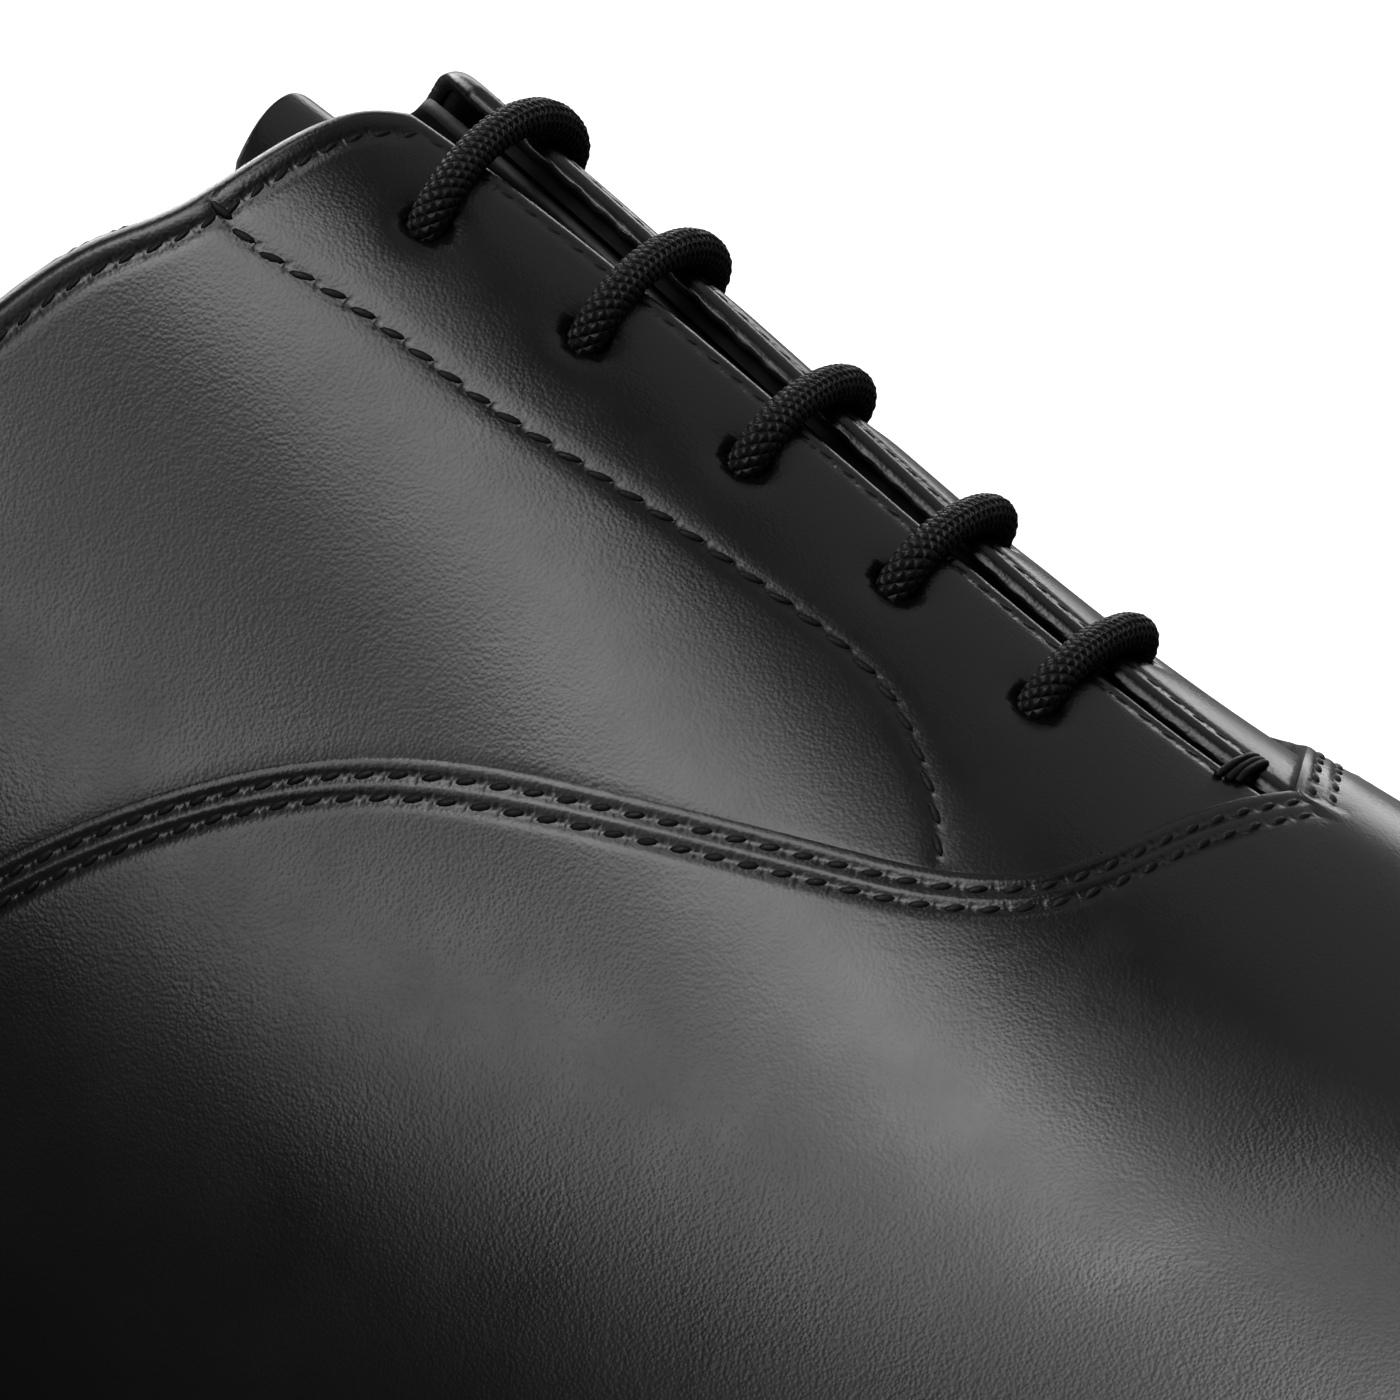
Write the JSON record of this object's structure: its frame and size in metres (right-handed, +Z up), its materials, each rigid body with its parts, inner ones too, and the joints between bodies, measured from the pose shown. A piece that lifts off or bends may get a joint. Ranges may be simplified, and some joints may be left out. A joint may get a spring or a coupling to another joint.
{
  "type": "oxford shoe",
  "caption": "Black leather oxford shoe, right foot, closed lacing with straight bar laces, straight toe cap, welted leather sole and stacked heel.",
  "frame": {"origin": "middle of the shoe's plan, on the ground the sole and heel rest on", "axes": "+X from heel to toe, +Z up, +Y towards the inner (medial) side of this right shoe"},
  "size_m": [0.3078, 0.1094, 0.116],
  "materials": {
    "black_calf": "polished smooth black calf, satin gloss, very fine grain",
    "lining_leather": "natural vegetable-tanned lining leather, matt",
    "black_lining": "black dyed lining leather, matt",
    "heel_grip_suede": "black, flesh side out, matt nap",
    "stiffener_fibre": "thermoplastic fibre stiffener, matt",
    "stay_tape": "woven cotton tape",
    "insole_leather": "firm vegetable-tanned leather, matt",
    "cork": "granulated cork paste",
    "steel": "plain spring steel",
    "sole_leather": "oak-bark tanned sole leather, dark stained edges",
    "welt_leather": "black dyed welt leather, waxed",
    "sock_leather": "smooth tan sock leather",
    "heel_rubber": "black rubber, matt",
    "waxed_cotton": "round braided cotton, waxed",
    "lace_tip_plastic": "black cellulose film",
    "thread": "waxed black thread"
  },
  "bodies": {
    "shoe": {"toe_cap": "black_calf", "vamp": "black_calf", "quarter_lateral": "black_calf", "quarter_medial": "black_calf", "back_strip": "black_calf", "vamp_lining": "lining_leather", "quarter_lining_lateral": "black_lining", "quarter_lining_medial": "black_lining", "heel_grip": "heel_grip_suede", "facing_stay_lateral": "stay_tape", "facing_stay_medial": "stay_tape", "toe_puff": "stiffener_fibre", "heel_counter": "stiffener_fibre", "insole": "insole_leather", "insole_rib": "insole_leather", "cork_filler": "cork", "shank": "steel", "welt": "welt_leather", "heel_rand": "welt_leather", "outsole": "sole_leather", "heel_lift_1": "sole_leather", "heel_lift_2": "sole_leather", "heel_lift_3": "sole_leather", "heel_top_piece": "heel_rubber", "heel_nail_1": "steel", "heel_nail_2": "steel", "heel_nail_3": "steel", "heel_nail_4": "steel", "heel_nail_5": "steel", "sock_liner": "sock_leather", "bar_tack": "thread", "lace": "waxed_cotton", "lace_tail_lateral": "waxed_cotton", "lace_tail_medial": "waxed_cotton", "aglet_lateral": "lace_tip_plastic", "aglet_medial": "lace_tip_plastic"},
    "tongue": {"tongue": "black_calf", "tongue_lining": "black_lining"}
  },
  "joints": [
    {"name": "tongue_flap", "type": "hinge", "parent": "shoe", "child": "tongue", "pos_m": [0.0404, 0.0011, 0.0664], "axis": [0, -1, 0], "range_deg": [0, 12], "stiffness_Nm_per_rad": 0.03, "springref_deg": -8.59}
  ]
}
